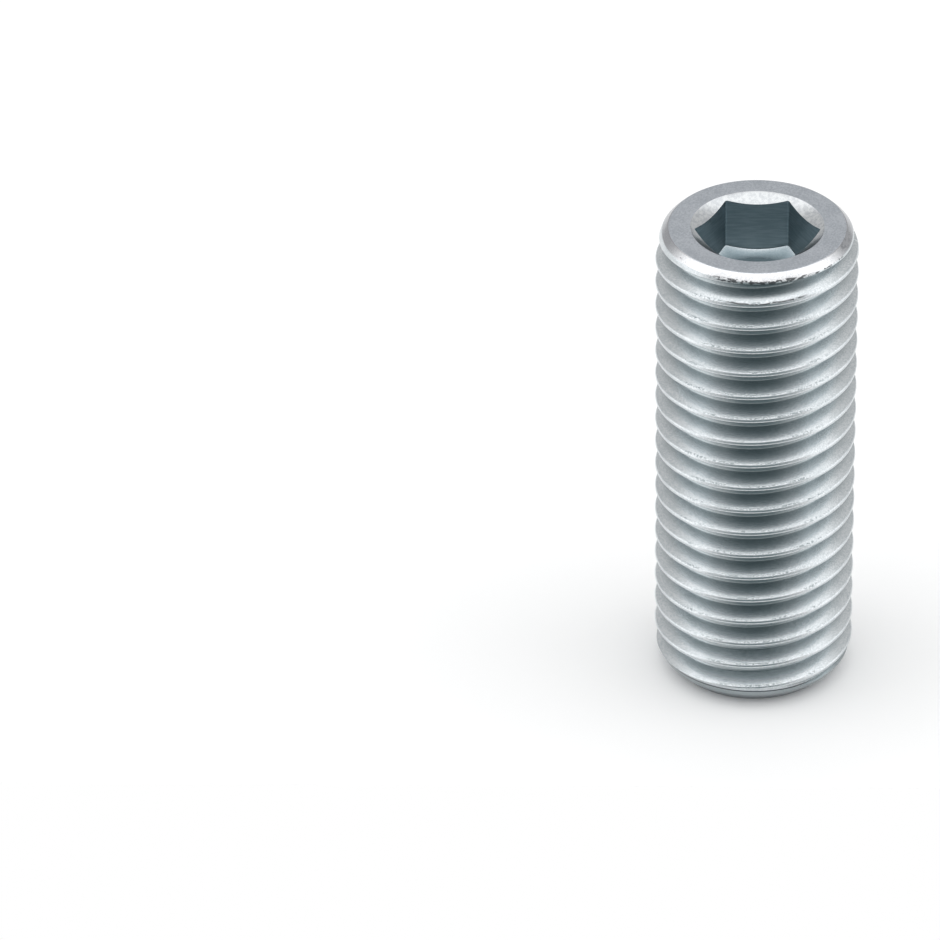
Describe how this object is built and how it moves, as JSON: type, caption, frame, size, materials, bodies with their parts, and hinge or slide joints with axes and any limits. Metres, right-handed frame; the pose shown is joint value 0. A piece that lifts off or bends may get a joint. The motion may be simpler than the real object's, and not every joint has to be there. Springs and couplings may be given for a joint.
{
  "type": "grub set screw",
  "caption": "Headless threaded screw with a hexagon socket in one end, a flat point at the other and chamfers round both.",
  "frame": {"origin": "centre of the flat point, on the surface that the screw stands on", "axes": "+Z along the screw's axis, from the flat point to the socket; two corners of the hexagon lie on the X axis; -Y is the front"},
  "size_m": [0.019, 0.019, 0.0485],
  "materials": {
    "zinc_plated_steel": "bright zinc plating with a faint blue tint, satin on the socket face and glossier on the rolled thread"
  },
  "bodies": {
    "root": {"set_screw": "zinc_plated_steel"}
  },
  "joints": []
}
